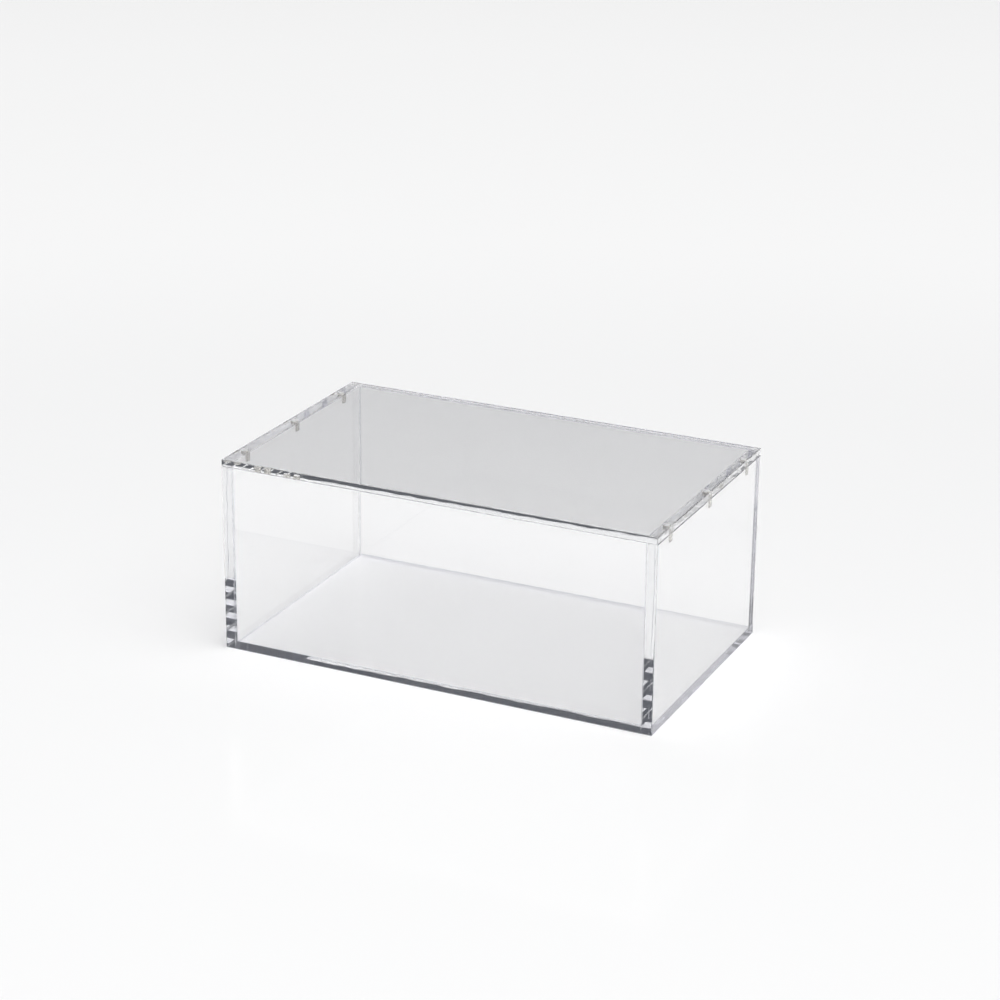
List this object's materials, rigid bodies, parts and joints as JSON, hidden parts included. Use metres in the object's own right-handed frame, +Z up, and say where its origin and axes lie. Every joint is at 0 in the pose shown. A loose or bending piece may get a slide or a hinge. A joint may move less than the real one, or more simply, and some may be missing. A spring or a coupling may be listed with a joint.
{
  "type": "acrylic display case",
  "caption": "Clear rectangular box of bonded acrylic plates with a loose flat lid held by small magnets in its short ends, for showing and protecting a boxed collectable.",
  "frame": {"origin": "middle of the underside, on the surface that the case stands on", "axes": "+X along the long front wall, to the right as seen from the front; +Y from the front wall to the back wall; +Z up, out through the lid"},
  "size_m": [0.246, 0.1446, 0.107],
  "materials": {
    "clear_acrylic": "clear cast acrylic sheet with polished edges",
    "nickel_plating": "bright nickel plate"
  },
  "bodies": {
    "case": {"base_plate": "clear_acrylic", "left_wall": "clear_acrylic", "right_wall": "clear_acrylic", "front_wall": "clear_acrylic", "back_wall": "clear_acrylic", "wall_magnet_left_front": "nickel_plating", "wall_magnet_left_middle": "nickel_plating", "wall_magnet_left_rear": "nickel_plating", "wall_magnet_right_front": "nickel_plating", "wall_magnet_right_middle": "nickel_plating", "wall_magnet_right_rear": "nickel_plating"},
    "lid": {"lid_plate": "clear_acrylic", "lid_magnet_left_front": "nickel_plating", "lid_magnet_left_middle": "nickel_plating", "lid_magnet_left_rear": "nickel_plating", "lid_magnet_right_front": "nickel_plating", "lid_magnet_right_middle": "nickel_plating", "lid_magnet_right_rear": "nickel_plating"}
  },
  "joints": [
    {"name": "lid_lift", "type": "slide", "parent": "case", "child": "lid", "axis": [0, 0, 1], "range_m": [0, 0.15]}
  ]
}
